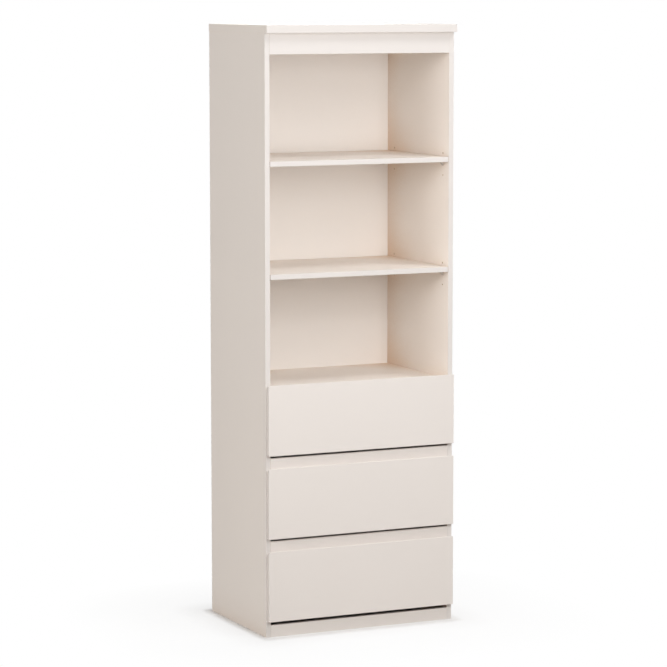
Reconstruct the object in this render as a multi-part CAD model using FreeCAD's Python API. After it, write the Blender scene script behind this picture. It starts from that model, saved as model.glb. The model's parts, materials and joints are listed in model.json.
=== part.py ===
import FreeCAD, Part
import os
from collections import defaultdict

# Bookcase with three drawers under three open compartments.
# Millimetres. X runs left to right, Y front to back, Z up.
# The origin is on the floor, in the middle of the overall width and depth.

V = FreeCAD.Vector
AXIS_X, AXIS_Y, AXIS_Z = V(1, 0, 0), V(0, 1, 0), V(0, 0, 1)
SIDES = {"left": -1, "right": 1}

# ---- boards -------------------------------------------------------------------------------------
board = 15.0                  # faced chipboard of every panel but the top
top_thickness = 22.0
hardboard = 3.0               # back panels and drawer bottoms

# ---- carcase ------------------------------------------------------------------------------------
carcase_width = 597.0         # over both side panels
carcase_depth = 400.0         # front edge to rear edge of a side panel
overall_height = 1746.0
top_side_overhang = 1.5
top_front_overhang = 18.0
header_height = 60.0
rail_height = 57.0            # rails between the drawers
plinth_height = 34.5
rear_rail_height = 50.0
rear_rail_lift = 12.0         # floor to the rear rail
back_margin = 1.0             # back panels stop this short of the carcase's outline
back_lift = 10.0              # floor to the lower back panel

# ---- adjustable shelves -------------------------------------------------------------------------
shelf_names = ("shelf_lower", "shelf_upper")
shelf_side_gap = 1.0
shelf_rear_gap = 2.0
pin_diameter = 5.0
pin_pitch = 32.0
pins_in_group = 3             # each shelf can go on any pin of its group
pin_front_setback = 37.0
pin_rear_setback = 45.0
pin_skin = 5.0                # board left behind a pin hole
lower_shelf_pin_height = 1021.0
shelf_step = 320.0            # from one shelf to the next
support_rise = 8.0            # pin axis to the underside of the shelf
support_drop = 4.5            # pin axis to the foot of the support
support_reach = 9.0           # wall to the nose of the support
support_width = 8.0
support_nose = 4.0            # height of the nose over the sloping foot

# ---- drawer fronts ------------------------------------------------------------------------------
drawer_names = ("lower", "middle", "upper")
rail_levels = {"drawer_rail_lower": 1, "drawer_rail_upper": 2}    # rail: the front it is below
lowest_front_lift = 46.5      # floor to the lowest front
front_height = 203.0
front_gap = 37.0              # finger gap between two fronts
front_inset = 3.0             # carcase's outer face to the end of a front
front_stand_off = 1.0         # carcase to the rear face of a closed front
front_lip = 14.0              # top of the upper front over the fixed shelf
finger_land = 3.0             # flat strip along a front's top edge
finger_drop = 10.0            # fall of the bevel behind it
rail_drop = 8.0               # lower edge of a front to the top of the rail behind it
drawer_travel = 270.0

# ---- drawer boxes -------------------------------------------------------------------------------
runner_space = 12.5           # carcase to drawer box on each side
box_lift = 20.0               # lower edge of a front to the lower edge of its box
box_top_room = 15.0           # box to the rail over it
box_rear_room = 49.0          # box to the back panel
groove_lift = 10.0            # lower edge of the box to the bottom's groove
groove_depth = 7.0
groove_play = 0.5             # bottom to the end of its groove

# ---- roller runners -----------------------------------------------------------------------------
steel = 1.2
running_gap = 0.3             # roller to its track
flange_gap = 0.5              # drawer's flange to the lip over it
roller_diameter = 20.0
roller_side_gap = 0.95        # roller to the screw heads beside it
axle_diameter = 4.0
axle_play = 0.1               # around the axle, and between roller and axle lengthwise
hub_diameter = 7.0            # axle's shoulder and riveted head
hub_side_play = 0.2           # head to the wall of its recess
hub_recess = 1.3              # depth of the recess in the roller for the head
runner_setback = 2.0          # carcase's front edge to the runner
front_roller_setback = 12.0   # runner's end to the axle of the front roller
rear_roller_setback = 13.0    # drawer's runner end to the axle of the rear roller
channel_setback = 14.0        # front roller's axle to the channel
channel_lip = 5.0             # width of the channel's upper lip
channel_edge = 0.6            # floor of the channel past the roller
flange_web_gap = 0.7          # drawer's flange to the channel's web
leg_lift = 3.0                # runner's underside to the leg of the drawer's member
stop_height = 5.0
runner_lift = 2.0             # box's lower edge to the runner's underside
cabinet_screw_height = 12.0   # over the runner's underside
drawer_screw_height = 16.5
runner_screw_count = 3
runner_screw_first = 43.0
runner_screw_step = 128.0

# ---- fittings -----------------------------------------------------------------------------------
fit_gap = 0.05                # play of a fitting in its bore
cam_diameter = 15.0
cam_skin = 2.5                # board left behind a cam's bore
cam_setback = 34.0            # joint to the middle of the cam
cam_slot_width = 1.4
cam_slot_length = 9.0
cam_slot_depth = 1.5
bolt_skin = 4.0               # board left behind the bolt's thread
thread_diameter = 5.0
neck_diameter = 5.6
bolt_head_diameter = 7.0
bolt_head_length = 4.0
bolt_bore_diameter = 8.0
dowel_diameter = 8.0
dowel_skin = 5.0              # board left behind a dowel
dowel_in_end = 20.0           # length of a dowel in the end of its board
fitting_spread = 14.0         # middle of a rail to its cam, and to its dowel
plinth_spread = 7.5
panel_cam_setback = 60.0      # panel's edge to its cams
dowel_step = 32.0             # cam's bolt to the dowel beside it
box_cam_height = 100.0        # over the lower edge of the drawer box
box_dowel_height = 45.0
screw_diameter = 3.5
screw_depth = 6.5             # screw in the board
screw_head_diameter = 6.4
screw_head_height = 1.5
joint_screw_diameter = 5.0    # drawer sides to drawer back
joint_screw_length = 48.0
joint_screw_head_diameter = 9.0
joint_screw_head_height = 2.5
joint_screw_inset = 30.0      # back's edges to its screws
nail_diameter = 1.5
nail_depth = 15.0
nail_head_diameter = 3.4
nail_head_height = 0.8
nail_spacing = 110.0
nail_edge = 30.0              # corner of a back panel to its first nail
nail_row = 3.5                # joint between the back panels to the nails on each side

# ---- wall bracket -------------------------------------------------------------------------------
bracket_width = 25.0
bracket_leg = 40.0
bracket_steel = 2.0
bracket_hole_diameter = 6.0
bracket_hole_drop = 26.0      # top panel to the hole for the wall screw
bracket_screw_setback = 25.0  # back panel to the screw in the top panel
wall_screw_room = 2.0         # added to the hole's diameter in the back panel

# ---- places worked out from the sizes above -----------------------------------------------------
side_height = overall_height - top_thickness
outer_x = carcase_width / 2
inner_x = outer_x - board
overall_depth = top_front_overhang + carcase_depth + hardboard
front_edge = top_front_overhang - overall_depth / 2     # front edges of the side panels
rear_edge = front_edge + carcase_depth
front_back_face = front_edge - front_stand_off          # rear faces of the closed fronts
rail_middle = front_edge + board / 2

front_pitch = front_height + front_gap
highest_front_top = lowest_front_lift + (len(drawer_names) - 1) * front_pitch + front_height
fixed_shelf_top = highest_front_top - front_lip
fixed_shelf_middle = fixed_shelf_top - board / 2

box_height = front_pitch - rail_drop - rail_height - box_lift - box_top_room
box_length = carcase_depth + front_stand_off - box_rear_room - runner_setback
box_rear = front_back_face + box_length
box_outer_x = inner_x - runner_space
box_inner_x = box_outer_x - board

cam_bore_depth = board - cam_skin
bolt_thread = board - bolt_skin
dowel_in_face = board - dowel_skin
pin_hole_depth = board - pin_skin

# Across a runner, measured from the carcase's side panel towards the drawer
roller_near = steel + screw_head_height + roller_side_gap
roller_far = runner_space - roller_near
leg_near = runner_space - steel
# Up a runner, measured from its underside
axle_height = steel + running_gap + roller_diameter / 2
flange_low = axle_height + roller_diameter / 2 + running_gap
flange_high = flange_low + steel
channel_height = flange_high + flange_gap + steel
# Along a runner
runner_front = front_edge + runner_setback
runner_rear = runner_front + box_length
front_axle_y = runner_front + front_roller_setback
rear_axle_y = box_rear - rear_roller_setback
channel_front = front_axle_y + channel_setback
stop_face = rear_axle_y - drawer_travel - roller_diameter / 2 - running_gap

solids = {}                   # node: its shape, or the list of its separate solids
bores = defaultdict(list)     # node: what is drilled or milled out of it


# ---- shapes -------------------------------------------------------------------------------------
def block(x0, x1, y0, y1, z0, z1):
    low = V(min(x0, x1), min(y0, y1), min(z0, z1))
    return Part.makeBox(abs(x1 - x0), abs(y1 - y0), abs(z1 - z0), low)


def rod(start, along, diameter, length):
    return Part.makeCylinder(diameter / 2, length, start, along)


def prism(outline, along):
    """The outline's points joined in a ring, filled, and drawn out along a vector."""
    return Part.Face(Part.makePolygon(outline + outline[:1])).extrude(along)


def evenly(first, last, spacing):
    """Places from first to last, as near to the spacing as a whole number of steps allows."""
    steps = max(1, round((last - first) / spacing))
    return [first + (last - first) * i / steps for i in range(steps + 1)]


def side_panel(hand):
    return f"side_panel_{hand}"


def front_bottom(level):
    return lowest_front_lift + level * front_pitch


def box_bottom(level):
    return front_bottom(level) + box_lift


def runner_bottom(level):
    return box_bottom(level) + runner_lift


def rail_top(level):
    return front_bottom(level) - rail_drop


def pin_height(shelf):
    return lower_shelf_pin_height + shelf * shelf_step


def pin_columns():
    return front_edge + pin_front_setback, rear_edge - pin_rear_setback


# ---- fittings -----------------------------------------------------------------------------------
def cam_joint(carrier, receiver, seat, into, face):
    """A cam lock let into one face of the carrier, and the bolt that it pulls from the receiver.

    seat is where the bolt crosses the joint in the middle of the carrier's thickness, into points
    from there into the receiver, and face points out of the carrier's face that holds the cam.
    """
    middle = seat - into * cam_setback
    mouth = middle + face * (board / 2)
    across = into.cross(face)
    bores[carrier].append(rod(mouth, -face, cam_diameter + 2 * fit_gap, cam_bore_depth))
    bores[carrier].append(rod(middle, into, bolt_bore_diameter, cam_setback))
    bores[receiver].append(rod(seat, into, thread_diameter + 2 * fit_gap, bolt_thread))

    cam_top = mouth - face * fit_gap
    cam = rod(cam_top, -face, cam_diameter, cam_bore_depth - fit_gap)
    cam = cam.cut(rod(middle - into * bolt_head_length, into, bolt_bore_diameter, cam_diameter))
    for long_way, short_way in ((into, across), (across, into)):
        half_long = long_way * (cam_slot_length / 2)
        half_short = short_way * (cam_slot_width / 2)
        corners = [
            cam_top + half_long + half_short,
            cam_top + half_long - half_short,
            cam_top - half_long - half_short,
            cam_top - half_long + half_short,
        ]
        cam = cam.cut(prism(corners, -face * cam_slot_depth))

    head_start = middle - into * (bolt_head_length / 2)
    bolt = rod(seat, into, thread_diameter, bolt_thread)
    bolt = bolt.fuse(rod(head_start, into, neck_diameter, cam_setback + bolt_head_length / 2))
    bolt = bolt.fuse(rod(head_start, into, bolt_head_diameter, bolt_head_length))
    return cam, bolt.removeSplitter()


def dowel_joint(carrier, receiver, seat, into):
    """A wooden dowel, with one end in the end of the carrier and the other in the receiver's face."""
    bore = dowel_diameter + 2 * fit_gap
    bores[carrier].append(rod(seat, -into, bore, dowel_in_end))
    bores[receiver].append(rod(seat, into, bore, dowel_in_face))
    return rod(seat - into * dowel_in_end, into, dowel_diameter, dowel_in_end + dowel_in_face)


def screw(plate, base, seat, into, room):
    """A pan-head screw on a steel plate: its head is on the plate and its shank in the base.

    seat is on the base's face, under the plate, and room is the plate's thickness.
    """
    head_seat = seat - into * room
    bores[base].append(rod(seat, into, screw_diameter + 2 * fit_gap, screw_depth))
    bores[plate].append(rod(head_seat, into, screw_diameter + 2 * fit_gap, room))
    shank = rod(head_seat, into, screw_diameter, room + screw_depth)
    return shank.fuse(rod(head_seat, -into, screw_head_diameter, screw_head_height)).removeSplitter()


def sunk_screw(first, second, seat, into, diameter, length, head_diameter, head_height):
    """A screw or nail through the first board into the second, its head flush with the first's face."""
    play = 2 * fit_gap
    for name in (first, second):
        bores[name].append(rod(seat, into, diameter + play, length))
    bores[first].append(rod(seat, into, head_diameter + play, head_height))
    head = rod(seat, into, head_diameter, head_height)
    return head.fuse(rod(seat, into, diameter, length)).removeSplitter()


# ---- carcase panels -----------------------------------------------------------------------------
def make_side_panels():
    for hand, side in SIDES.items():
        name = side_panel(hand)
        solids[name] = block(side * inner_x, side * outer_x, front_edge, rear_edge, 0, side_height)
        for shelf in range(len(shelf_names)):
            lowest_pin = pin_height(shelf) - pins_in_group // 2 * pin_pitch
            for step in range(pins_in_group):
                for y in pin_columns():
                    start = V(side * inner_x, y, lowest_pin + step * pin_pitch)
                    bores[name].append(rod(start, AXIS_X * side, pin_diameter, pin_hole_depth))


def make_top_panel():
    half_width = outer_x + top_side_overhang
    front = front_edge - top_front_overhang
    solids["top_panel"] = block(-half_width, half_width, front, rear_edge, side_height, overall_height)


def make_rails():
    """The boards that stand on edge between the side panels."""
    def rail(front, low, high):
        return block(-inner_x, inner_x, front, front + board, low, high)

    solids["header_rail"] = rail(front_edge, side_height - header_height, side_height)
    solids["plinth"] = rail(front_edge, 0, plinth_height)
    solids["rear_rail"] = rail(rear_edge - board, rear_rail_lift, rear_rail_lift + rear_rail_height)
    for name, level in rail_levels.items():
        solids[name] = rail(front_edge, rail_top(level) - rail_height, rail_top(level))


def make_shelves():
    low = fixed_shelf_top - board
    solids["fixed_shelf"] = block(-inner_x, inner_x, front_edge, rear_edge, low, fixed_shelf_top)
    half_width = inner_x - shelf_side_gap
    rear = rear_edge - shelf_rear_gap
    for shelf, name in enumerate(shelf_names):
        low = pin_height(shelf) + support_rise
        solids[name] = block(-half_width, half_width, front_edge, rear, low, low + board)


def make_back_panels():
    half_width = outer_x - back_margin
    rear = rear_edge + hardboard
    seam = fixed_shelf_middle
    high = overall_height - back_margin
    solids["back_panel_lower"] = block(-half_width, half_width, rear_edge, rear, back_lift, seam)
    solids["back_panel_upper"] = block(-half_width, half_width, rear_edge, rear, seam, high)


def make_shelf_supports():
    """Moulded supports: a pin in the wall, and a lug with a sloping foot under the shelf."""
    supports = []
    for shelf in range(len(shelf_names)):
        axis_z = pin_height(shelf)
        top = axis_z + support_rise
        for side in SIDES.values():
            wall = side * inner_x
            nose = wall - side * support_reach
            for y in pin_columns():
                outline = [
                    (wall, top),
                    (nose, top),
                    (nose, top - support_nose),
                    (wall, axis_z - support_drop),
                ]
                points = [V(x, y - support_width / 2, z) for x, z in outline]
                lug = prism(points, AXIS_Y * support_width)
                pin = rod(V(wall, y, axis_z), AXIS_X * side, pin_diameter - 2 * fit_gap, pin_hole_depth)
                supports.append(lug.fuse(pin).removeSplitter())
    solids["shelf_supports"] = supports


def join_carcase():
    """Cam locks, bolts and dowels of the carcase."""
    cams, bolts, dowels = [], [], []

    def fasten(carrier, receiver, cam_seat, dowel_seat, into, face):
        cam, bolt = cam_joint(carrier, receiver, cam_seat, into, face)
        cams.append(cam)
        bolts.append(bolt)
        dowels.append(dowel_joint(carrier, receiver, dowel_seat, into))

    rear_rail_middle = rear_rail_lift + rear_rail_height / 2
    upright = [
        ("header_rail", rail_middle, side_height - header_height / 2, fitting_spread, AXIS_Y),
        ("plinth", rail_middle, plinth_height / 2, plinth_spread, AXIS_Y),
        ("rear_rail", rear_edge - board / 2, rear_rail_middle, fitting_spread, -AXIS_Y),
    ]
    for name, level in rail_levels.items():
        upright.append((name, rail_middle, rail_top(level) - rail_height / 2, fitting_spread, AXIS_Y))

    rows = ((front_edge + panel_cam_setback, dowel_step), (rear_edge - panel_cam_setback, -dowel_step))
    for hand, side in SIDES.items():
        end = side * inner_x
        panel = side_panel(hand)
        for name, y, z, spread, face in upright:
            fasten(name, panel, V(end, y, z + spread), V(end, y, z - spread), AXIS_X * side, face)
        for y, step in rows:
            seat = V(end, y, fixed_shelf_middle)
            fasten("fixed_shelf", panel, seat, seat + AXIS_Y * step, AXIS_X * side, -AXIS_Z)
            seat = V(side * (inner_x + board / 2), y, side_height)
            fasten(panel, "top_panel", seat, seat + AXIS_Y * step, AXIS_Z, AXIS_X * -side)
    solids["carcase_cam_locks"] = cams
    solids["carcase_cam_bolts"] = bolts
    solids["carcase_dowels"] = dowels


def nail_backs():
    """Nails along the rear edges of the carcase, their heads flush with the back panels."""
    nails = []
    rear = rear_edge + hardboard
    seam = fixed_shelf_middle
    half_width = outer_x - back_margin

    def nail(panel, board_name, x, z):
        seat = V(x, rear, z)
        nails.append(sunk_screw(panel, board_name, seat, -AXIS_Y,
                                nail_diameter, nail_depth + hardboard,
                                nail_head_diameter, nail_head_height))

    for hand, side in SIDES.items():
        x = side * (inner_x + board / 2)
        for z in evenly(back_lift + nail_edge, seam - nail_edge, nail_spacing):
            nail("back_panel_lower", side_panel(hand), x, z)
        for z in evenly(seam + nail_edge, side_height - nail_edge, nail_spacing):
            nail("back_panel_upper", side_panel(hand), x, z)
    for x in evenly(-half_width + nail_edge + board, half_width - nail_edge - board, nail_spacing):
        nail("back_panel_upper", "top_panel", x, side_height + top_thickness / 2)
        nail("back_panel_upper", "fixed_shelf", x, seam + nail_row)
        nail("back_panel_lower", "fixed_shelf", x, seam - nail_row)
        nail("back_panel_lower", "rear_rail", x, rear_rail_lift + rear_rail_height / 2)
    solids["back_nails"] = nails


def make_wall_bracket():
    """A steel angle under the top panel, against the back, that a wall screw goes through."""
    half = bracket_width / 2
    inner_face = rear_edge - bracket_steel
    top = side_height
    flat = block(-half, half, rear_edge - bracket_leg, rear_edge, top - bracket_steel, top)
    upright = block(-half, half, inner_face, rear_edge, top - bracket_leg, top)
    solids["wall_bracket"] = flat.fuse(upright).removeSplitter()

    hole_z = top - bracket_hole_drop
    wide_hole = bracket_hole_diameter + wall_screw_room
    bores["wall_bracket"].append(rod(V(0, inner_face, hole_z), AXIS_Y, bracket_hole_diameter, bracket_steel))
    bores["back_panel_upper"].append(rod(V(0, rear_edge, hole_z), AXIS_Y, wide_hole, hardboard))
    seat = V(0, rear_edge - bracket_screw_setback, side_height)
    solids["wall_bracket_screw"] = screw("wall_bracket", "top_panel", seat, AXIS_Z, bracket_steel)


# ---- runners ------------------------------------------------------------------------------------
def across_runner(side, near, far, y0, y1, z0, z1):
    """A block beside the side panel; near and far are measured from the panel's inner face."""
    return block(side * (inner_x - near), side * (inner_x - far), y0, y1, z0, z1)


def axle(side, base, tip, y, z):
    """A riveted axle from the sheet at base to the sunk head at tip, with a shoulder for the roller."""
    toward = 1 if tip > base else -1
    along = AXIS_X * (-side * toward)
    shoulder = abs(tip - base) - (roller_far - roller_near) - axle_play
    head = hub_recess - 2 * axle_play
    start = V(side * (inner_x - base), y, z)
    tip_point = start + along * (abs(tip - base) - axle_play)
    pin = rod(start, along, axle_diameter, abs(tip - base) - axle_play)
    pin = pin.fuse(rod(start, along, hub_diameter, shoulder))
    return pin.fuse(rod(tip_point, -along, hub_diameter, head))


def roller(side, recessed_at, y, z):
    """A nylon roller, with a recess for the axle's head in the face at recessed_at."""
    start = V(side * (inner_x - roller_near), y, z)
    along = AXIS_X * -side
    wheel = rod(start, along, roller_diameter, roller_far - roller_near)
    wheel = wheel.cut(rod(start, along, axle_diameter + 2 * axle_play, roller_far - roller_near))
    inward = -along if recessed_at == roller_far else along
    mouth = V(side * (inner_x - recessed_at), y, z)
    return wheel.cut(rod(mouth, inward, hub_diameter + 2 * hub_side_play, hub_recess))


def cabinet_runner(side, low):
    """The member on the carcase: a channel for the drawer's roller, with a roller at its front end."""
    high = low + channel_height
    floor_top = low + steel
    floor_width = roller_far + channel_edge
    web = across_runner(side, 0, steel, runner_front, runner_rear, low, high)
    floor = across_runner(side, 0, floor_width, channel_front, runner_rear, low, floor_top)
    lip = across_runner(side, 0, channel_lip, channel_front, runner_rear, high - steel, high)
    stop = across_runner(side, 0, channel_lip, stop_face - steel, stop_face, low, floor_top + stop_height)
    pin = axle(side, steel, roller_far, front_axle_y, low + axle_height)
    return web.fuse([floor, lip, stop, pin]).removeSplitter()


def drawer_runner(side, low):
    """The member on the drawer: a leg on the box's side, and a flange that rides on the front roller."""
    high = low + flange_high
    front, rear = front_back_face, box_rear
    leg = across_runner(side, leg_near, runner_space, front, rear, low + leg_lift, high)
    flange = across_runner(side, steel + flange_web_gap, runner_space, front, rear, low + flange_low, high)
    pin = axle(side, leg_near, roller_near, rear_axle_y, low + axle_height)
    return leg.fuse([flange, pin]).removeSplitter()


def make_cabinet_runners():
    screws = []
    for level, drawer in enumerate(drawer_names):
        low = runner_bottom(level)
        name = f"cabinet_runners_{drawer}"
        solids[name] = [cabinet_runner(side, low) for side in SIDES.values()]
        solids[f"cabinet_rollers_{drawer}"] = [
            roller(side, roller_far, front_axle_y, low + axle_height) for side in SIDES.values()]
        for hand, side in SIDES.items():
            for i in range(runner_screw_count):
                y = runner_front + runner_screw_first + i * runner_screw_step
                seat = V(side * inner_x, y, low + cabinet_screw_height)
                screws.append(screw(name, side_panel(hand), seat, AXIS_X * side, steel))
    solids["cabinet_runner_screws"] = screws


# ---- drawers ------------------------------------------------------------------------------------
def drawer_front(low):
    """The front board: the rear of its top edge falls away, so that fingers can pull it from behind."""
    face = front_back_face - board
    high = low + front_height
    outline = [
        (face, low),
        (front_back_face, low),
        (front_back_face, high - finger_drop),
        (face + finger_land, high),
        (face, high),
    ]
    half_width = outer_x - front_inset
    points = [V(-half_width, y, z) for y, z in outline]
    return prism(points, AXIS_X * 2 * half_width)


def make_drawer(level, drawer):
    """One drawer: front, two sides, back, bottom, runner members with their rollers, and fittings."""
    prefix = f"drawer_{drawer}"
    front, back = f"{prefix}_front", f"{prefix}_back"
    low = box_bottom(level)
    high = low + box_height
    bottom_low = low + groove_lift
    bottom_high = bottom_low + hardboard
    runner_low = runner_bottom(level)

    solids[front] = drawer_front(front_bottom(level))
    solids[back] = block(-box_inner_x, box_inner_x, box_rear - board, box_rear, bottom_high, high)
    groove_x = box_inner_x + groove_depth
    bores[front].append(block(-groove_x, groove_x, front_back_face - groove_depth, front_back_face,
                              bottom_low, bottom_high))
    bottom_x = groove_x - groove_play
    bottom_y = front_back_face - groove_depth + groove_play
    solids[f"{prefix}_bottom"] = block(-bottom_x, bottom_x, bottom_y, box_rear, bottom_low, bottom_high)

    cams, dowels, screws = [], [], []
    for hand, side in SIDES.items():
        wall = f"{prefix}_side_{hand}"
        solids[wall] = block(side * box_inner_x, side * box_outer_x, front_back_face, box_rear, low, high)
        bores[wall].append(block(side * box_inner_x, side * groove_x, front_back_face, box_rear,
                                 bottom_low, bottom_high))
        middle_x = side * (box_inner_x + board / 2)
        cam_seat = V(middle_x, front_back_face, low + box_cam_height)
        cams += cam_joint(wall, front, cam_seat, -AXIS_Y, AXIS_X * -side)
        dowel_seat = V(middle_x, front_back_face, low + box_dowel_height)
        dowels.append(dowel_joint(wall, front, dowel_seat, -AXIS_Y))
        for z in (bottom_high + joint_screw_inset, high - joint_screw_inset):
            seat = V(side * box_outer_x, box_rear - board / 2, z)
            screws.append(sunk_screw(wall, back, seat, AXIS_X * -side,
                                     joint_screw_diameter, joint_screw_length,
                                     joint_screw_head_diameter, joint_screw_head_height))
        for i in range(runner_screw_count):
            y = front_back_face + runner_screw_first + i * runner_screw_step
            seat = V(side * box_outer_x, y, runner_low + drawer_screw_height)
            screws.append(screw(f"{prefix}_runners", wall, seat, AXIS_X * -side, steel))
    solids[f"{prefix}_cam_fittings"] = cams
    solids[f"{prefix}_dowels"] = dowels
    solids[f"{prefix}_screws"] = screws
    solids[f"{prefix}_runners"] = [drawer_runner(side, runner_low) for side in SIDES.values()]
    solids[f"{prefix}_rollers"] = [
        roller(side, roller_near, rear_axle_y, runner_low + axle_height) for side in SIDES.values()]


# ---- assembly -----------------------------------------------------------------------------------
def bored(name):
    """The node's separate solids, drilled and milled."""
    shape = solids[name]
    parts = shape if isinstance(shape, list) else [shape]
    if bores[name]:
        parts = [part.cut(bores[name]) for part in parts]
    return [solid for part in parts for solid in part.Solids]


make_side_panels()
make_top_panel()
make_rails()
make_shelves()
make_back_panels()
make_shelf_supports()
make_cabinet_runners()
for level, drawer in enumerate(drawer_names):
    make_drawer(level, drawer)
join_carcase()
nail_backs()
make_wall_bracket()

os.makedirs("parts", exist_ok=True)
for name in sorted(solids):
    pieces = bored(name)
    shape = pieces[0] if len(pieces) == 1 else Part.makeCompound(pieces)
    shape.exportStep(f"parts/{name}.step")
    print(f"{name}: {len(pieces)} solids, {shape.Volume / 1000:.1f} cm3")
print(len(solids), "nodes")
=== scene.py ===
import json
import math

import bmesh
import bpy
import numpy as np
from mathutils import Matrix, Quaternion, Vector


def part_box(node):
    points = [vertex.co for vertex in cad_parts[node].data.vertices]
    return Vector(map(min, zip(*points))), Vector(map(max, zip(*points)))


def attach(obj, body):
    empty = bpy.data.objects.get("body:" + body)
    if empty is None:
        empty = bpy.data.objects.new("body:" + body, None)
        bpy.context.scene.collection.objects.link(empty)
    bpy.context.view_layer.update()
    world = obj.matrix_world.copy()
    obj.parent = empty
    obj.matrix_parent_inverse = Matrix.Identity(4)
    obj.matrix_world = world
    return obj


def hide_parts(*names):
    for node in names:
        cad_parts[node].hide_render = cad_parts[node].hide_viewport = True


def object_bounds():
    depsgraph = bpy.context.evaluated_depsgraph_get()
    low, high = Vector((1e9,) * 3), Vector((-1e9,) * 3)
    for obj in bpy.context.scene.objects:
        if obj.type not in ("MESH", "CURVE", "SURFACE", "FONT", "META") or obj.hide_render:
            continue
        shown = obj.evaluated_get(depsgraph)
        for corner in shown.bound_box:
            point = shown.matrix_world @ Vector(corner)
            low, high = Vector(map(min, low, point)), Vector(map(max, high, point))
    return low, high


# Tall white bookcase with three drawers: the CAD boards get eased, banded edges and their finishes,
# the fittings get their metals and plastics, and a plain studio stands around them.

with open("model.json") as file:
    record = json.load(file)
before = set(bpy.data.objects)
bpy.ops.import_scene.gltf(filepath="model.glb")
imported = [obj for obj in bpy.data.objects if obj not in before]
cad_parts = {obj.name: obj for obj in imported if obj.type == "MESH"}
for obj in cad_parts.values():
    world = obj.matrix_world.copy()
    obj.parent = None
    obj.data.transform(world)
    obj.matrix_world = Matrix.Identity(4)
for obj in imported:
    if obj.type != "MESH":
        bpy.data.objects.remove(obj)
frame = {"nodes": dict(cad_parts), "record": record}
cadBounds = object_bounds()
nodes = frame["nodes"]
bodies = frame["record"]["behaviour"]["bodies"]
slotOfNode = {part["node"]: part["material_slot"] for part in frame["record"]["subparts"]}
bodyOfNode = {node: body for body, members in bodies.items() for node in members}
drawerNames = ("lower", "middle", "upper")
millimetre = 0.001


# Node helpers shared by every finish
def newFinish(name, roughness, metallic=0.0, colour=None):
    material = bpy.data.materials.new(name)
    material.use_nodes = True
    tree = material.node_tree
    shader = tree.nodes["Principled BSDF"]
    shader.inputs["Roughness"].default_value = roughness
    shader.inputs["Metallic"].default_value = metallic
    if colour:
        shader.inputs["Base Color"].default_value = (*colour, 1)
        material.diffuse_color = (*colour, 1)
    return material, tree, shader


def addNode(tree, kind, links=None, values=None, **settings):
    made = tree.nodes.new(kind)
    for key, value in settings.items():
        setattr(made, key, value)
    for key, value in (values or {}).items():
        made.inputs[key].default_value = value
    for key, source in (links or {}).items():
        tree.links.new(source, made.inputs[key])
    return made


# Object coordinates are metres, so a noise at a scale of 1000 has features of about 1 mm
def stretched(tree, scale):
    place = addNode(tree, "ShaderNodeTexCoord")
    links = {"Vector": place.outputs["Object"]}
    mapping = addNode(tree, "ShaderNodeMapping", links, {"Scale": scale})
    return mapping.outputs["Vector"]


def noise(tree, scale, detail=3.0, along=(1, 1, 1), roughness=0.5):
    links = {"Vector": stretched(tree, along)}
    values = {"Scale": scale, "Detail": detail, "Roughness": roughness}
    return addNode(tree, "ShaderNodeTexNoise", links, values).outputs["Fac"]


def rampBetween(tree, factor, stops):
    ramp = addNode(tree, "ShaderNodeValToRGB", {"Fac": factor})
    elements = ramp.color_ramp.elements
    while len(elements) < len(stops):
        elements.new(0.5)
    for element, (position, colour) in zip(elements, stops):
        element.position = position
        element.color = (*colour, 1)
    return ramp.outputs["Color"]


def remapped(tree, value, low, high):
    values = {"From Min": 0.25, "From Max": 0.75, "To Min": low, "To Max": high}
    return addNode(tree, "ShaderNodeMapRange", {"Value": value}, values).outputs["Result"]


def raised(tree, shader, height, distance, strength=1.0, below=None):
    links = {"Height": height}
    if below:
        links["Normal"] = below
    bump = addNode(tree, "ShaderNodeBump", links, {"Distance": distance, "Strength": strength})
    tree.links.new(bump.outputs["Normal"], shader.inputs["Normal"])
    return bump.outputs["Normal"]


def multiplied(tree, first, second):
    product = addNode(tree, "ShaderNodeMix", {6: first, 7: second}, {0: 1},
                      data_type="RGBA", blend_type="MULTIPLY")
    return product.outputs[2]


def shaded(colour, factor):
    return tuple(min(1.0, channel * factor) for channel in colour)


def cloudy(tree, shader, colour, spread, scale):
    colours = [(0.3, shaded(colour, 1 - spread)), (0.7, shaded(colour, 1 + spread))]
    tree.links.new(rampBetween(tree, noise(tree, scale), colours), shader.inputs["Base Color"])


# Painted shade: the white boards are painted browner and darker towards inner corners, by how
# enclosed each point is, in place of the shade and warm bounced light that fall there
paintedCornerShadeSettings = {
    "reach": 0.22,              # metres
    "samples": 8,
    # tint: colour factor of the painted corner shade, by openness
    "tint": [(0.28, (0.82, 0.67, 0.54)), (0.56, (1.0, 1.0, 1.0))],      # openness, factor
}


def paintedCornerShade(tree, shader, settings):
    openness = addNode(tree, "ShaderNodeAmbientOcclusion", values={"Distance": settings["reach"]},
                       samples=settings["samples"])
    # Painted shade: a brown factor where the point is enclosed, multiplied into the base colour
    tint = rampBetween(tree, openness.outputs["AO"], settings["tint"])
    plain = shader.inputs["Base Color"].links[0].from_socket
    tree.links.new(multiplied(tree, plain, tint), shader.inputs["Base Color"])


# Warm white melamine paper: a silky, very shallow pearl under the light
melamineSettings = {
    "colour": (0.975, 0.91, 0.85),
    "frontColour": (0.885, 0.83, 0.79),       # the foil on the fronts and rails is a little cooler
    "cloudSpread": 0.008,
    "cloudScale": 2.2,
    "roughness": (0.44, 0.52),
    "pearlScale": 950,
    "pearlDepth": 0.012 * millimetre,
}


def melamine(name, settings, colour):
    material, tree, shader = newFinish(name, settings["roughness"][0], colour=colour)
    cloudy(tree, shader, colour, settings["cloudSpread"], settings["cloudScale"])
    pearl = noise(tree, settings["pearlScale"], detail=2.0)
    tree.links.new(remapped(tree, pearl, *settings["roughness"]), shader.inputs["Roughness"])
    raised(tree, shader, pearl, settings["pearlDepth"], strength=0.6)
    return material, tree, shader


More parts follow.
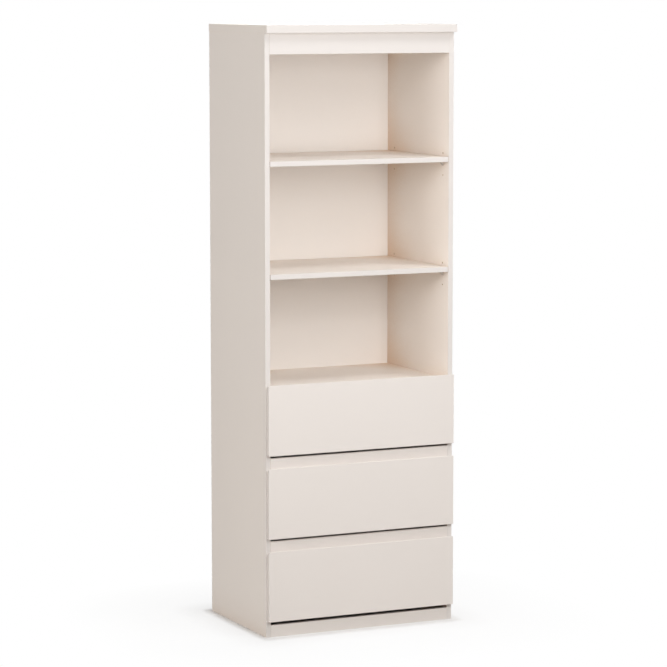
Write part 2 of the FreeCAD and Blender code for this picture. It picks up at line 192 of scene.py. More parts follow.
def faceWithPaintedShade(settings):
    material, tree, shader = melamine("melamineFacePaintedShade", settings, settings["colour"])
    # The melamine face gets painted shade in its corners
    paintedCornerShade(tree, shader, paintedCornerShadeSettings)
    return material


def frontFoil(settings):
    return melamine("frontFoil", settings, settings["frontColour"])[0]


# Plastic banding on the narrow edges: smoother, with faint drawn streaks along it
bandSettings = {
    "colour": (0.82, 0.775, 0.745),
    "cloudSpread": 0.006,
    "cloudScale": 5,
    "roughness": (0.48, 0.58),
    "streakScale": 2200,
    "streakStretch": (0.03, 1, 0.03),
    "streakDepth": 0.01 * millimetre,
}


def banding(settings):
    roughness, colour = settings["roughness"], settings["colour"]
    material, tree, shader = newFinish("edgeBanding", roughness[0], colour=colour)
    cloudy(tree, shader, colour, settings["cloudSpread"], settings["cloudScale"])
    streaks = noise(tree, settings["streakScale"], detail=1.0, along=settings["streakStretch"])
    tree.links.new(remapped(tree, streaks, *roughness), shader.inputs["Roughness"])
    raised(tree, shader, streaks, settings["streakDepth"], strength=0.5)
    return material


# The glue line where the band meets the paper, a touch darker
seamSettings = {
    "colour": (0.82, 0.745, 0.675),
    "cloudSpread": 0.05,
    "cloudScale": 60,
    "roughness": 0.5,
}


def glueLine(settings):
    material, tree, shader = newFinish("glueLine", settings["roughness"], colour=settings["colour"])
    cloudy(tree, shader, settings["colour"], settings["cloudSpread"], settings["cloudScale"])
    return material


# Raw chipboard in bores and on unbanded edges: flat chips of every brown from straw to bark
chipboardSettings = {
    "chipScale": 420,
    "chipStretch": (1, 1, 1.8),
    "browns": [(0.0, (0.30, 0.20, 0.12)), (0.35, (0.50, 0.36, 0.23)),
               (0.7, (0.64, 0.50, 0.34)), (1.0, (0.78, 0.66, 0.49))],
    "roughness": 0.85,
    "depth": 0.18 * millimetre,
}


def chipboard(settings):
    browns = settings["browns"]
    material, tree, shader = newFinish("rawChipboard", settings["roughness"], colour=browns[1][1])
    flat = {"Vector": stretched(tree, settings["chipStretch"])}
    chips = addNode(tree, "ShaderNodeTexVoronoi", flat, {"Scale": settings["chipScale"]})
    tree.links.new(rampBetween(tree, chips.outputs["Color"], browns), shader.inputs["Base Color"])
    raised(tree, shader, chips.outputs["Distance"], settings["depth"], strength=0.8)
    return material


# Fine fibreboard inside the drawer fronts, seen in their grooves and bores
fibreboardSettings = {
    "light": (0.56, 0.42, 0.27),
    "dark": (0.42, 0.29, 0.17),
    "roughness": 0.8,
    "fibreScale": 1400,
    "depth": 0.05 * millimetre,
}


def fibreboard(settings):
    light, dark = settings["light"], settings["dark"]
    material, tree, shader = newFinish("fibreboardCore", settings["roughness"], colour=light)
    fibres = noise(tree, settings["fibreScale"], detail=6.0, roughness=0.7)
    tree.links.new(rampBetween(tree, fibres, [(0.35, dark), (0.65, light)]),
                   shader.inputs["Base Color"])
    raised(tree, shader, fibres, settings["depth"], strength=0.6)
    return material


# Hardboard: painted smooth on the side that shows, bare brown with a screen's imprint on the other
hardboardSettings = {
    "paint": (0.94, 0.89, 0.845),
    "cloudSpread": 0.008,
    "cloudScale": 3.1,
    "paintRoughness": (0.42, 0.55),
    "peelScale": 380,
    "peelDepth": 0.02 * millimetre,
    "brown": (0.30, 0.175, 0.095),
    "darkBrown": (0.19, 0.105, 0.055),
    "bareRoughness": 0.62,
    "fibreScale": 260,
    "fibreDepth": 0.06 * millimetre,
    "patchScale": 5.5,          # cloudy patches left by the press
    "patches": [(0.35, (0.86, 0.85, 0.84)), (0.65, (1.0, 1.0, 1.0))],
    "screenPitch": 1.6 * millimetre,
    "screenDepth": 0.12 * millimetre,
}


def paintedHardboard(settings):
    roughness = settings["paintRoughness"]
    material, tree, shader = newFinish("hardboardPaint", roughness[0], colour=settings["paint"])
    cloudy(tree, shader, settings["paint"], settings["cloudSpread"], settings["cloudScale"])
    peel = noise(tree, settings["peelScale"], detail=2.0)
    tree.links.new(remapped(tree, peel, *roughness), shader.inputs["Roughness"])
    raised(tree, shader, peel, settings["peelDepth"], strength=0.5)
    return material


def bareHardboard(settings):
    brown = settings["brown"]
    material, tree, shader = newFinish("hardboardBare", settings["bareRoughness"], colour=brown)
    fibres = noise(tree, settings["fibreScale"], detail=8.0, roughness=0.75)
    browns = rampBetween(tree, fibres, [(0.3, settings["darkBrown"]), (0.72, brown)])
    clouds = noise(tree, settings["patchScale"], detail=4.0)
    patches = rampBetween(tree, clouds, settings["patches"])
    tree.links.new(multiplied(tree, browns, patches), shader.inputs["Base Color"])
    bandGap = math.pi / 10      # between the bands of a wave texture at scale 1
    waves = []
    for direction in ("X", "Z", "Y"):
        values = {"Scale": bandGap / settings["screenPitch"], "Distortion": 0.2}
        links = {"Vector": stretched(tree, (1, 1, 1))}
        wave = addNode(tree, "ShaderNodeTexWave", links, values, bands_direction=direction)
        waves.append(wave.outputs["Fac"])
    across = addNode(tree, "ShaderNodeMath", {0: waves[0], 1: waves[1]}, operation="MULTIPLY")
    links = {0: across.outputs[0], 1: waves[2]}
    screen = addNode(tree, "ShaderNodeMath", links, operation="MAXIMUM")
    below = raised(tree, shader, screen.outputs[0], settings["screenDepth"], strength=0.35)
    raised(tree, shader, fibres, settings["fibreDepth"], strength=0.5, below=below)
    return material


# Metals and plastics of the fittings
fittingSettings = {
    "powderWhite": {"colour": (0.80, 0.79, 0.765), "metallic": 0.0, "clouds": 0.012,
                    "roughness": (0.34, 0.46), "grain": 700, "depth": 0.03 * millimetre},
    "nylon": {"colour": (0.82, 0.81, 0.77), "metallic": 0.0, "clouds": 0.012,
              "roughness": (0.30, 0.38), "grain": 300, "depth": 0.01 * millimetre},
    "supportPlastic": {"colour": (0.66, 0.60, 0.54), "metallic": 0.0, "clouds": 0.012,
                       "roughness": (0.34, 0.44), "grain": 500, "depth": 0.01 * millimetre},
    "castZinc": {"colour": (0.46, 0.47, 0.49), "metallic": 1.0, "clouds": 0.04,
                 "roughness": (0.38, 0.58), "grain": 520, "depth": 0.05 * millimetre},
    "platedSteel": {"colour": (0.63, 0.62, 0.58), "metallic": 1.0, "clouds": 0.04,
                    "roughness": (0.24, 0.40), "grain": 260, "depth": 0.01 * millimetre},
}
grainsPerCloud = 6


def fitting(name):
    settings = fittingSettings[name]
    roughness, colour = settings["roughness"], settings["colour"]
    material, tree, shader = newFinish(name, roughness[0], settings["metallic"], colour)
    cloudy(tree, shader, colour, settings["clouds"], settings["grain"] / grainsPerCloud)
    grain = noise(tree, settings["grain"], detail=4.0)
    tree.links.new(remapped(tree, grain, *roughness), shader.inputs["Roughness"])
    raised(tree, shader, grain, settings["depth"], strength=0.5)
    return material


# Bare beech: pale, close-grained, with the short dark flecks of its rays
beechSettings = {
    "light": (0.66, 0.47, 0.30),
    "dark": (0.50, 0.32, 0.18),
    "grainScale": 600,
    "grainStretch": (0.08, 1, 1),
    "fleck": (0.36, 0.21, 0.11),
    "fleckScale": 1500,
    "fleckStretch": (0.15, 1, 0.4),
    "fleckFrom": 0.62,          # flecks where their noise is over this
    "fleckFull": 0.68,
    "roughness": 0.6,
    "depth": 0.04 * millimetre,
}


def beechWood(settings):
    material, tree, shader = newFinish("beechWood", settings["roughness"], colour=settings["light"])
    grain = noise(tree, settings["grainScale"], detail=4.0, along=settings["grainStretch"])
    base = rampBetween(tree, grain, [(0.3, settings["dark"]), (0.7, settings["light"])])
    flecks = noise(tree, settings["fleckScale"], detail=1.0, along=settings["fleckStretch"])
    reach = {"From Min": settings["fleckFrom"], "From Max": settings["fleckFull"]}
    mask = addNode(tree, "ShaderNodeMapRange", {"Value": flecks}, reach)
    mixed = addNode(tree, "ShaderNodeMix", data_type="RGBA")
    tree.links.new(mask.outputs["Result"], mixed.inputs[0])
    tree.links.new(base, mixed.inputs[6])
    mixed.inputs[7].default_value = (*settings["fleck"], 1)
    tree.links.new(mixed.outputs[2], shader.inputs["Base Color"])
    raised(tree, shader, grain, settings["depth"], strength=0.5)
    return material


finishes = {
    "face": faceWithPaintedShade(melamineSettings),
    "frontFace": frontFoil(melamineSettings),
    "band": banding(bandSettings),
    "seam": glueLine(seamSettings),
    "chip": chipboard(chipboardSettings),
    "fibre": fibreboard(fibreboardSettings),
    "paint": paintedHardboard(hardboardSettings),
    "bare": bareHardboard(hardboardSettings),
    "powder": fitting("powderWhite"),
    "nylon": fitting("nylon"),
    "plastic": fitting("supportPlastic"),
    "zinc": fitting("castZinc"),
    "steel": fitting("platedSteel"),
    "beech": beechWood(beechSettings),
}
print("finishes made:", len(finishes))


# Separate solids of a mesh, as lists of its vertices
def islands(bm):
    seen = set()
    found = []
    for start in bm.verts:
        if start in seen:
            continue
        seen.add(start)
        island, queue = [], [start]
        while queue:
            vert = queue.pop()
            island.append(vert)
            for edge in vert.link_edges:
                other = edge.other_vert(vert)
                if other not in seen:
                    seen.add(other)
                    queue.append(other)
        found.append(island)
    return found


# Faces with their whole solid behind them: its outside, without its bores and grooves
def outerFaces(bm):
    slack = 0.1 * millimetre
    outside = set()
    for island in islands(bm):
        points = np.array([vert.co for vert in island])
        for face in {face for vert in island for face in vert.link_faces}:
            normal = np.array(face.normal)
            if (points @ normal).max() < np.dot(normal, face.verts[0].co) + slack:
                outside.add(face)
    return outside


def cleanCopy(node):
    bm = bmesh.new()
    bm.from_mesh(nodes[node].data)
    bmesh.ops.remove_doubles(bm, verts=bm.verts, dist=0.005 * millimetre)
    bmesh.ops.dissolve_limit(bm, angle_limit=math.radians(0.5), verts=bm.verts, edges=bm.edges)
    return bm


# Rounds the outer edges that keep() lets through
def easeEdges(bm, offset, steps, sharpAngle=20, keep=lambda edge: True):
    outside = outerFaces(bm)
    edges = []
    for edge in bm.edges:
        outer = len(edge.link_faces) == 2 and all(face in outside for face in edge.link_faces)
        if outer and edge.calc_face_angle(0) > math.radians(sharpAngle) and keep(edge):
            edges.append(edge)
    made = bmesh.ops.bevel(bm, geom=edges, offset=offset, segments=steps, profile=0.5,
                           affect="EDGES", clamp_overlap=True)
    return set(made["faces"])


# Rounded edges are smooth, and the flat faces beside them keep their own normals
def finishPiece(name, bm, skins, node, smoothAngle=35):
    mesh = bpy.data.meshes.new(name)
    bm.to_mesh(mesh)
    bm.free()
    if "custom_normal" in mesh.attributes:
        mesh.attributes.remove(mesh.attributes["custom_normal"])
    for key in skins:
        mesh.materials.append(finishes[key])
    mesh.shade_smooth()
    mesh.set_sharp_from_angle(angle=math.radians(smoothAngle))
    piece = bpy.data.objects.new(name, mesh)
    bpy.context.scene.collection.objects.link(piece)
    piece.modifiers.new("flatFaces", "WEIGHTED_NORMAL").keep_sharp = True
    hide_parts(node)
    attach(piece, bodyOfNode[node])
    return piece


def sideOf(direction):
    axis = max(range(3), key=lambda i: abs(direction[i]))
    return "xyz"[axis] + ("+" if direction[axis] > 0 else "-")


# Boards: the wide faces, the banded edges, the glue line beside a band, and the raw core
boardSettings = {
    "ease": 0.8 * millimetre,
    "steps": 3,
    "wideAbove": 0.9,           # share of a normal along the thickness that makes a face wide
    "sidewaysAbove": 0.01,      # length across the thickness that gives a normal a side
    "banded": {
        "side_panel_left": ("y-",),
        "side_panel_right": ("y-",),
        "top_panel": ("y-", "x-", "x+"),
        "header_rail": ("z-",),
        "fixed_shelf": ("y-",),
        "shelf_lower": ("y-",),
        "shelf_upper": ("y-",),
        "drawer_rail_lower": ("z-", "z+"),
        "drawer_rail_upper": ("z-", "z+"),
        "plinth": ("z+",),
        "rear_rail": ("z+", "z-"),
    },
    "wrapped": {"top_panel": ("x-", "x+")},         # its paper runs on over the ends
    "drawerBanded": {"side_left": ("z+", "z-"), "side_right": ("z+", "z-"), "back": ("z+",)},
    "wideSkin": {               # wide faces that differ from the plain white of the rest
        "header_rail": "band",
        "drawer_rail_lower": "frontFace",
        "drawer_rail_upper": "frontFace",
        "plinth": "frontFace",
    },
}
boardSkins = ("face", "band", "seam", "chip")       # wide faces, bands, glue lines, core
wideSlot, bandSlot, seamSlot, coreSlot = range(4)


def dressBoard(node, banded, skins=boardSkins):
    bm = cleanCopy(node)
    core = bm.faces.layers.int.new("core")
    outside = outerFaces(bm)
    for face in bm.faces:
        face[core] = 0 if face in outside else 1
    low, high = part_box(node)
    extents = high - low
    thickness = min(range(3), key=lambda i: extents[i])

    # The band's long arrises and its corners are eased; ends that butt against a board stay square
    def besideBand(edge):
        sides = [sideOf(face.normal) for face in edge.link_faces]
        flat = [side for side in sides if side[0] == "xyz"[thickness]]
        return len(flat) < 2 and all(side in banded or side in flat for side in sides)

    eased = easeEdges(bm, boardSettings["ease"], boardSettings["steps"], keep=besideBand)
    for face in bm.faces:
        if face[core] and face not in eased:
            face.material_index = coreSlot
            continue
        normal = face.normal.copy()
        wide = abs(normal[thickness]) > boardSettings["wideAbove"]
        normal[thickness] = 0
        isBanded = normal.length > boardSettings["sidewaysAbove"] and sideOf(normal) in banded
        if wide:
            face.material_index = seamSlot if face in eased and isBanded else wideSlot
        elif isBanded:
            wrapped = sideOf(normal) in boardSettings["wrapped"].get(node, ())
            face.material_index = wideSlot if wrapped else bandSlot
        else:
            face.material_index = coreSlot
    return finishPiece(node + "_board", bm, skins, node)


for node, banded in boardSettings["banded"].items():
    wideSkin = boardSettings["wideSkin"].get(node, boardSkins[wideSlot])
    dressBoard(node, banded, (wideSkin, *boardSkins[bandSlot:]))
for drawer in drawerNames:
    for part, banded in boardSettings["drawerBanded"].items():
        dressBoard(f"drawer_{drawer}_{part}", banded)
print("boards dressed")


# Drawer fronts are wrapped all round, finger bevel included, so no band or glue line shows
frontSides = ("x-", "x+", "z-", "z+", "y+")
frontSkins = ("frontFace", "frontFace", "frontFace", "fibre")
for drawer in drawerNames:
    dressBoard(f"drawer_{drawer}_front", frontSides, frontSkins)
print("drawer fronts dressed")


# Hardboard panels: paint on one wide side, bare brown elsewhere
hardboardPaintSide = {
    "back_panel_lower": "y-",
    "back_panel_upper": "y-",
    "drawer_lower_bottom": "z+",
    "drawer_middle_bottom": "z+",
    "drawer_upper_bottom": "z+",
}


def dressHardboard(node, paintSide):
    bm = cleanCopy(node)
    for face in bm.faces:
        face.material_index = 0 if sideOf(face.normal) == paintSide else 1      # paint or bare
    return finishPiece(node + "_sheet", bm, ("paint", "bare"), node)


for node, paintSide in hardboardPaintSide.items():
    dressHardboard(node, paintSide)
print("hardboard dressed")


# Turned pieces: a profile of (depth below the top, radius) swept round the axis. A ring's profile
# is closed round its bore.
def turned(name, profile, segments=32, ring=False):
    bm = bmesh.new()
    rings = []
    for depth, radius in profile:
        turns = [2 * math.pi * i / segments for i in range(segments if radius > 0 else 1)]
        points = [(radius * math.cos(turn), radius * math.sin(turn), -depth) for turn in turns]
        rings.append([bm.verts.new(point) for point in points])
    for upper, lower in zip(rings, rings[1:] + (rings[:1] if ring else [])):
        for i in range(segments):
            corners = [upper[i % len(upper)], upper[(i + 1) % len(upper)],
                       lower[(i + 1) % len(lower)], lower[i % len(lower)]]
            bm.faces.new(list(dict.fromkeys(corners)))
    bmesh.ops.recalc_face_normals(bm, faces=bm.faces)
    mesh = bpy.data.meshes.new(name)
    bm.to_mesh(mesh)
    bm.free()
    return mesh


# A tapered slot or socket to cut out of a head: its outline at the mouth shrinks towards the bottom
def socket(name, outline, depth, taper):
    bm = bmesh.new()
    lift = 0.2 * millimetre
    mouth = [bm.verts.new((x, y, lift)) for x, y in outline]
    foot = [bm.verts.new((x * taper, y * taper, -depth)) for x, y in outline]
    bm.faces.new(mouth)
    bm.faces.new(foot[::-1])
    for i in range(len(outline)):
        j = (i + 1) % len(outline)
        bm.faces.new([mouth[j], mouth[i], foot[i], foot[j]])
    bmesh.ops.recalc_face_normals(bm, faces=bm.faces)
    mesh = bpy.data.meshes.new(name)
    bm.to_mesh(mesh)
    bm.free()
    return mesh


def carved(mesh, cutter):
    body = bpy.data.objects.new("carving", mesh)
    tool = bpy.data.objects.new("cutter", cutter)
    for made in (body, tool):
        bpy.context.scene.collection.objects.link(made)
    cut = body.modifiers.new("cut", "BOOLEAN")
    cut.operation, cut.solver, cut.object = "DIFFERENCE", "EXACT", tool
    evaluated = body.evaluated_get(bpy.context.evaluated_depsgraph_get())
    result = bpy.data.meshes.new_from_object(evaluated)
    for made in (body, tool):
        bpy.data.objects.remove(made)
    return result


def crossOutline(length, width):
    long, short = length / 2, width / 2
    quarter = [(long, -short), (long, short), (short, short)]
    return [(x * math.cos(turn) - y * math.sin(turn), x * math.sin(turn) + y * math.cos(turn))
            for turn in (0, math.pi / 2, math.pi, -math.pi / 2) for x, y in quarter]


# The middle of each head's top in a node of screws or nails, and the way each goes in
def fastenerPlaces(node):
    bm = cleanCopy(node)
    slack = 0.01 * millimetre
    places = []
    for island in islands(bm):
        points = np.array([vert.co for vert in island])
        low, high = points.min(axis=0), points.max(axis=0)
        axis = int(np.argmax(high - low))
        middle = (low + high) / 2
        wide = {}
        for end in (low[axis], high[axis]):
            atEnd = points[abs(points[:, axis] - end) < slack] - middle
            wide[end] = np.linalg.norm(np.delete(atEnd, axis, axis=1), axis=1).max()
        head = max(wide, key=wide.get)
        way = np.zeros(3)
        way[axis] = 1 if head == low[axis] else -1
        middle[axis] = head
        places.append((Vector(middle), Vector(way)))
    bm.free()
    return places


turnBetweenCopies = 37      # degrees that each copy is turned on from the last


def placeCopies(name, mesh, places, skin, node):
    bm = bmesh.new()
    for number, (place, way) in enumerate(places):
        copy = mesh.copy()
        spin = Quaternion((0, 0, 1), math.radians(turnBetweenCopies * number))
        turn = way.to_track_quat("-Z", "Y") @ spin
        copy.transform(Matrix.Translation(place) @ turn.to_matrix().to_4x4())
        bm.from_mesh(copy)
        bpy.data.meshes.remove(copy)
    return finishPiece(name, bm, (skin,), node, smoothAngle=30)


# Screws and nails in the CAD's places, with the heads such fasteners have
fastenerSettings = {
    "panScrew": {       # domed head on a runner or the bracket, with a cross recess
        "profile": [(0.0, 0.0), (0.03, 0.8), (0.15, 1.6), (0.42, 2.4), (0.75, 2.9), (1.1, 3.15),
                    (1.32, 3.2), (1.5, 3.1), (1.5, 1.75), (7.6, 1.75), (9.2, 0.0)],
        "recess": (3.6, 0.85, 1.1, 0.55),       # length, width and depth of the cross, taper
    },
    "joiningScrew": {   # flat sunk head with a hexagon socket, flush with the drawer's side
        "profile": [(0.0, 0.0), (0.0, 4.2), (0.1, 4.42), (0.3, 4.5), (2.5, 4.5), (3.0, 2.5),
                    (44.0, 2.5), (48.0, 0.0)],
        "hexagon": (2.31, 2.2, 0.97),           # corner radius, depth, taper
    },
    "nail": {
        "profile": [(0.0, 0.0), (0.02, 0.7), (0.08, 1.3), (0.2, 1.62), (0.35, 1.7), (0.65, 1.7),
                    (0.8, 1.6), (0.8, 0.75), (16.2, 0.75), (18.0, 0.0)],
    },
}


def inMetres(profile):
    return [(depth * millimetre, radius * millimetre) for depth, radius in profile]


def makeFastener(name):
    settings = fastenerSettings[name]
    mesh = turned(name, inMetres(settings["profile"]))
    if "recess" in settings:
        length, width, depth, taper = settings["recess"]
        cross = crossOutline(length * millimetre, width * millimetre)
        mesh = carved(mesh, socket("crossRecess", cross, depth * millimetre, taper))
    if "hexagon" in settings:
        radius, depth, taper = settings["hexagon"]
        hexagon = [(radius * millimetre * math.cos(math.radians(60 * i)),
                    radius * millimetre * math.sin(math.radians(60 * i))) for i in range(6)]
        mesh = carved(mesh, socket("hexSocket", hexagon, depth * millimetre, taper))
    return mesh


panScrew, joiningScrew, nail = (makeFastener(name) for name in ("panScrew", "joiningScrew", "nail"))
shortScrewLength = 12 * millimetre      # runner screws are shorter than this, joining screws longer


def splitByLength(node):
    bm = cleanCopy(node)
    spans = [np.ptp([vert.co for vert in island], axis=0).max() for island in islands(bm)]
    bm.free()
    places = list(zip(fastenerPlaces(node), spans))
    short = [place for place, span in places if span < shortScrewLength]
    long = [place for place, span in places if span >= shortScrewLength]
    return short, long


for node, mesh in (("cabinet_runner_screws", panScrew), ("wall_bracket_screw", panScrew),
                   ("back_nails", nail)):
    placeCopies(node + "_domed", mesh, fastenerPlaces(node), "steel", node)
for drawer in drawerNames:
    node = f"drawer_{drawer}_screws"
    short, long = splitByLength(node)
    placeCopies(node + "_domed", panScrew, short, "steel", node)
    placeCopies(node + "_flush", joiningScrew, long, "steel", node)
print("screws and nails made")


# Small moulded and cast pieces, their outer edges rounded
smallPieceSettings = {
    "shelf_supports": {"ease": 0.5 * millimetre, "steps": 3, "sharpAngle": 40, "skin": "plastic"},
    "wall_bracket": {"ease": 0.35 * millimetre, "steps": 3, "sharpAngle": 40, "skin": "steel"},
}


def dressSmallPiece(node, settings):
    bm = cleanCopy(node)
    easeEdges(bm, settings["ease"], settings["steps"], settings["sharpAngle"])
    return finishPiece(node + "_eased", bm, (settings["skin"],), node)


for node, settings in smallPieceSettings.items():
    dressSmallPiece(node, settings)
print("small pieces dressed")


# Runner members: bent sheet, so the long outer bends are rounded
runnerSettings = {
    "bend": 1.0 * millimetre,
    "steps": 4,
    "sharpAngle": 40,
    "lengthwiseAbove": 0.99,    # share of an edge along the runner that makes it a bend
}


def dressRunner(node, settings):
    def lengthwise(edge):
        along = edge.verts[1].co - edge.verts[0].co
        return abs(along.normalized().y) > settings["lengthwiseAbove"]

    bm = cleanCopy(node)
    easeEdges(bm, settings["bend"], settings["steps"], settings["sharpAngle"], lengthwise)
    return finishPiece(node + "_bent", bm, ("powder",), node)


for drawer in drawerNames:
    dressRunner(f"cabinet_runners_{drawer}", runnerSettings)
    dressRunner(f"drawer_{drawer}_runners", runnerSettings)
print("runners dressed")


# Nylon rollers: a rounded tread, a groove moulded round each face, and the recess for the
# axle's head
rollerSettings = {
    "half": [(0.7, 10.0), (0.35, 9.9), (0.1, 9.65), (0.0, 9.3), (0.0, 8.35), (0.15, 8.2),
             (0.9, 7.95), (0.9, 5.6), (0.15, 5.35), (0.0, 5.2)],
    "recessed": [(0.0, 3.85), (0.15, 3.7), (1.3, 3.7), (1.3, 2.1)],
    "smooth": [(0.0, 2.3), (0.2, 2.1)],
    "segments": 64,
}


def makeRollers(node, settings, recessOutward):
    low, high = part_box(node)
    middle = (low + high) / 2
    bm = cleanCopy(node)
    spans = []
    for wheel in islands(bm):
        across = [vert.co.x for vert in wheel]
        spans.append((min(across), max(across)))
    bm.free()
    width = spans[0][1] - spans[0][0]
    recessedFace = inMetres(settings["half"] + settings["recessed"])
    smoothFace = [(width - depth, radius)
                  for depth, radius in inMetres(settings["half"] + settings["smooth"])]
    wheel = turned("rollerWheel", recessedFace + smoothFace[::-1], settings["segments"], ring=True)
    places = []
    for start, end in spans:
        outward = 1 if start > 0 else -1
        face = outward if recessOutward else -outward
        mouth = Vector((end if face > 0 else start, middle.y, middle.z))
        places.append((mouth, Vector((-face, 0, 0))))
    return placeCopies(node + "_wheels", wheel, places, "nylon", node)


for drawer in drawerNames:
    makeRollers(f"cabinet_rollers_{drawer}", rollerSettings, recessOutward=False)
    makeRollers(f"drawer_{drawer}_rollers", rollerSettings, recessOutward=True)
print("rollers made")


# The CAD's own meshes keep their shapes and get the finish of their slot
skinOfSlot = {
    "runner_steel": "powder",
    "nylon": "nylon",
    "zinc_alloy": "zinc",
    "plated_steel": "steel",
    "white_plastic": "plastic",
    "beech": "beech",
    "melamine_board": "face",
    "hardboard": "paint",
}
for node, part in nodes.items():
    part.data.materials.clear()
    part.data.materials.append(finishes[skinOfSlot[slotOfNode[node]]])
print("fittings finished")


# Studio: a round paper floor that shows white but keeps the shade under and close to the cabinet,
# white surroundings, soft lamps and a soft sky
lampWhite = (0.985, 0.985, 0.985)
lampWarm = (1.0, 0.965, 0.94)
studioSettings = {
    "floorRadius": 9.0,
    "floorSides": 96,
    "floorDrop": 0.2 * millimetre,         # clear of the feet
    "floorRoughness": 0.9,
    "floorCloudSpread": 0.004,
    "floorCloudScale": 1.5,
    "floorColour": (0.90, 0.895, 0.89),
    "floorBounce": (0.50, 0.47, 0.43),     # how much light comes back up from it
    # Metres from the cabinet, and the share of its shade that the floor keeps there
    "shading": [(0.0, 1.0), (0.004, 1.0), (0.03, 0.3), (0.12, 0.11), (0.45, 0.0)],
    "skyColour": (1.0, 1.0, 1.0),
    "skyStrength": 0.03,
    "lamps": {                  # place, size of the square, power, colour
        "keyLamp": ((0.0, -2.5, 1.6), 1.0, 26, lampWhite),
        "frontLamp": ((-1.0, -4.0, 3.2), 1.3, 29, lampWhite),
        "highLamp": ((1.5, -2.0, 4.5), 1.3, 64, lampWhite),
        "sideLamp": ((-4.5, -0.9, 1.8), 1.3, 60, lampWarm),
        "leftFrontLamp": ((-9.7, -5.4, 3.7), 3.0, 170, lampWarm),
        "topLamp": ((0.1, 0.5, 4.2), 1.5, 20, lampWhite),
        "rightFill": ((4.6, 0.8, 1.8), 2.0, 40, lampWhite),
        "backFill": ((1.2, 4.6, 2.4), 2.4, 50, lampWhite),
    },
    "lampAim": (0.0, 0.0, 1.0),
}


# Metres from a point on the floor to the cabinet's outline, 0 under it
def distanceToCabinet(tree):
    place = addNode(tree, "ShaderNodeTexCoord")
    across = addNode(tree, "ShaderNodeVectorMath", {0: place.outputs["Object"]},
                     operation="ABSOLUTE")
    corner = {1: (*cadBounds[1].xy, 0)}
    beyond = addNode(tree, "ShaderNodeVectorMath", {0: across.outputs[0]}, corner,
                     operation="SUBTRACT")
    outside = addNode(tree, "ShaderNodeVectorMath", {0: beyond.outputs[0]}, {1: (0, 0, 0)},
                      operation="MAXIMUM")
    distance = addNode(tree, "ShaderNodeVectorMath", {0: outside.outputs[0]}, operation="LENGTH")
    return distance.outputs["Value"]


# 1 for the rays that should meet plain white: camera, glossy and transmission
def seenRays(tree):
    rays = addNode(tree, "ShaderNodeLightPath")
    seen = rays.outputs["Is Camera Ray"]
    for other in ("Is Glossy Ray", "Is Transmission Ray"):
        links = {0: seen, 1: rays.outputs[other]}
        seen = addNode(tree, "ShaderNodeMath", links, operation="MAXIMUM").outputs[0]
    return seen


def makeFloor(settings):
    level = cadBounds[0].z - settings["floorDrop"]
    bpy.ops.mesh.primitive_circle_add(vertices=settings["floorSides"], fill_type="NGON",
                                      radius=settings["floorRadius"], location=(0, 0, level))
    floor = bpy.context.object
    floor.name = "floor"
    colour = settings["floorColour"]
    material, tree, shader = newFinish("floorPaper", settings["floorRoughness"], colour=colour)
    cloudy(tree, shader, colour, settings["floorCloudSpread"], settings["floorCloudScale"])
    seen = seenRays(tree)
    tint = addNode(tree, "ShaderNodeMix", data_type="RGBA")
    tree.links.new(seen, tint.inputs[0])
    tint.inputs[6].default_value = (*settings["floorBounce"], 1)
    tree.links.new(shader.inputs["Base Color"].links[0].from_socket, tint.inputs[7])
    tree.links.new(tint.outputs[2], shader.inputs["Base Color"])
    shares = [(distance, (share,) * 3) for distance, share in settings["shading"]]
    own = rampBetween(tree, distanceToCabinet(tree), shares)
    plain = addNode(tree, "ShaderNodeEmission")
    links = {0: own, 1: plain.outputs[0], 2: shader.outputs[0]}
    backdrop = addNode(tree, "ShaderNodeMixShader", links)
    links = {0: seen, 1: shader.outputs[0], 2: backdrop.outputs[0]}
    mixed = addNode(tree, "ShaderNodeMixShader", links)
    tree.links.new(mixed.outputs[0], tree.nodes["Material Output"].inputs["Surface"])
    floor.data.materials.append(material)


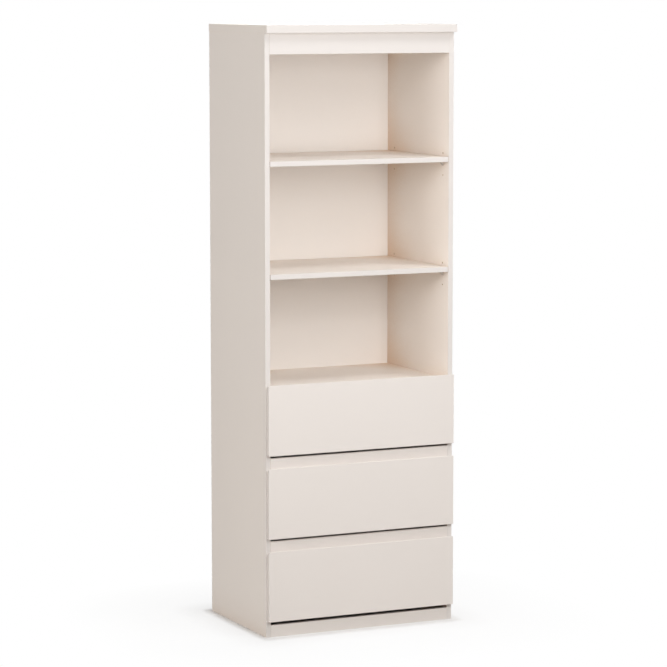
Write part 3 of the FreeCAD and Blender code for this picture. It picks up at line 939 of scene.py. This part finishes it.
def makeSky(settings):
    world = bpy.data.worlds.new("studioSky")
    bpy.context.scene.world = world
    world.use_nodes = True
    tree = world.node_tree
    sky = tree.nodes["Background"]
    sky.inputs["Color"].default_value = (*settings["skyColour"], 1)
    sky.inputs["Strength"].default_value = settings["skyStrength"]
    plain = addNode(tree, "ShaderNodeBackground", values={"Color": (1, 1, 1, 1), "Strength": 1.0})
    links = {0: seenRays(tree), 1: sky.outputs[0], 2: plain.outputs[0]}
    mixed = addNode(tree, "ShaderNodeMixShader", links)
    tree.links.new(mixed.outputs[0], tree.nodes["World Output"].inputs["Surface"])


def makeLamp(name, place, size, power, colour, aim):
    light = bpy.data.lights.new(name, "AREA")
    light.shape = "SQUARE"
    light.size = size
    light.energy = power
    light.color = colour
    lamp = bpy.data.objects.new(name, light)
    lamp.location = place
    towards = Vector(aim) - lamp.location
    lamp.rotation_euler = towards.to_track_quat("-Z", "Y").to_euler()
    bpy.context.scene.collection.objects.link(lamp)


makeFloor(studioSettings)
makeSky(studioSettings)
for name, lamp in studioSettings["lamps"].items():
    makeLamp(name, *lamp, studioSettings["lampAim"])
print("studio made")


# Camera: long lens from the front left, a little above the top
cameraSettings = {
    "place": (-3.5404, -7.5601, 1.8399),
    "turn": 25.1243,            # to the right of straight ahead, in degrees
    "tilt": 6.8153,             # below level
    "focalPixels": 2863.0,      # focal length in pixels of the square image
    "imagePixels": 667,
    "sensor": 36.0,
    "farthest": 100,            # metres
}


def makeCamera(settings):
    data = bpy.data.cameras.new("camera")
    data.sensor_width = settings["sensor"]
    data.lens = settings["focalPixels"] / settings["imagePixels"] * settings["sensor"]
    data.clip_end = settings["farthest"]
    camera = bpy.data.objects.new("camera", data)
    camera.location = settings["place"]
    tilt, turn = math.radians(settings["tilt"]), math.radians(settings["turn"])
    camera.rotation_euler = (math.pi / 2 - tilt, 0, -turn)
    bpy.context.scene.collection.objects.link(camera)
    bpy.context.scene.camera = camera


makeCamera(cameraSettings)
bpy.context.scene.view_settings.view_transform = "Standard"
print("camera placed")
